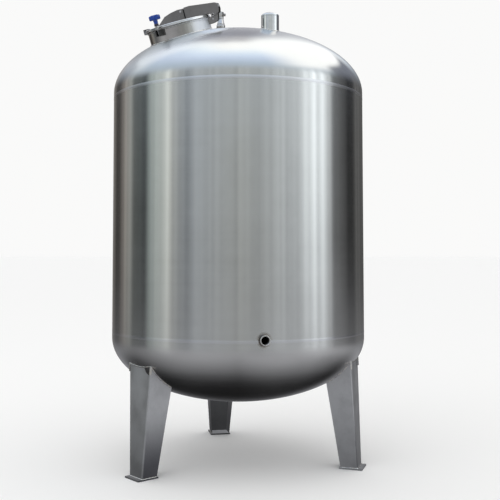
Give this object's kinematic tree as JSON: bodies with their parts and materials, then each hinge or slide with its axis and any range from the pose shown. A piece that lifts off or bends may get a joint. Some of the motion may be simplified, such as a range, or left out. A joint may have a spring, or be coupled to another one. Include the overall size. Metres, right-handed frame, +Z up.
{
  "type": "vertical storage tank",
  "caption": "Upright stainless steel tank with domed ends on folded sheet legs, with a hinged manway held by hand clamps, a breather, a capped pipe and a low side socket.",
  "frame": {"origin": "on the floor, on the axis of the shell", "axes": "+Z up along the shell's axis, -Y to the front, where the side socket is, +X to the right seen from the front"},
  "size_m": [1.5, 1.5285, 2.667],
  "materials": {
    "satin_steel": "satin stainless sheet with bright brushed welds",
    "leg_steel": "satin stainless sheet, folded",
    "polished_steel": "polished stainless steel",
    "arm_steel": "dull stainless plate",
    "knob_plastic": "moulded blue plastic, semi-gloss",
    "seal_rubber": "matt sealing ring"
  },
  "bodies": {
    "tank": {"tank_shell": "satin_steel", "top_head": "satin_steel", "bottom_head": "satin_steel", "front_left_leg": "leg_steel", "front_right_leg": "leg_steel", "rear_leg": "leg_steel", "front_left_foot": "leg_steel", "front_right_foot": "leg_steel", "rear_foot": "leg_steel", "manway_neck": "satin_steel", "hinge_pin": "polished_steel", "hinge_bracket": "arm_steel", "near_clamp_lug": "arm_steel", "far_clamp_lug": "arm_steel", "vent_ferrule": "satin_steel", "vent_nut": "satin_steel", "vent_body": "satin_steel", "vent_hexagon": "satin_steel", "vent_outlet": "satin_steel", "top_pipe": "polished_steel", "top_pipe_cap": "polished_steel", "side_socket": "satin_steel"},
    "lid": {"manway_lid": "satin_steel", "manway_gasket": "seal_rubber", "lid_handle": "satin_steel", "near_clamp_ear": "satin_steel", "far_clamp_ear": "satin_steel", "lid_arm": "arm_steel", "arm_nose": "arm_steel", "arm_end_strap": "arm_steel", "lid_lug": "arm_steel", "lid_lug_pin": "polished_steel"},
    "near_clamp": {"near_clamp_screw": "polished_steel", "near_clamp_knob": "knob_plastic"},
    "far_clamp": {"far_clamp_screw": "polished_steel", "far_clamp_knob": "knob_plastic"}
  },
  "joints": [
    {"name": "lid_hinge", "type": "hinge", "parent": "tank", "child": "lid", "pos_m": [-0.13764, -0.35308, 2.57807], "axis": [0.2001, 0.9412, 0.2723], "range_deg": [0, 110]},
    {"name": "near_clamp_turn", "type": "hinge", "parent": "lid", "child": "near_clamp", "pos_m": [-0.45216, -0.46406, 2.47959], "axis": [-0.2545, -0.2185, 0.9421], "continuous": true},
    {"name": "far_clamp_turn", "type": "hinge", "parent": "lid", "child": "far_clamp", "pos_m": [-0.37447, -0.09853, 2.58535], "axis": [-0.2545, -0.2185, 0.9421], "continuous": true}
  ]
}
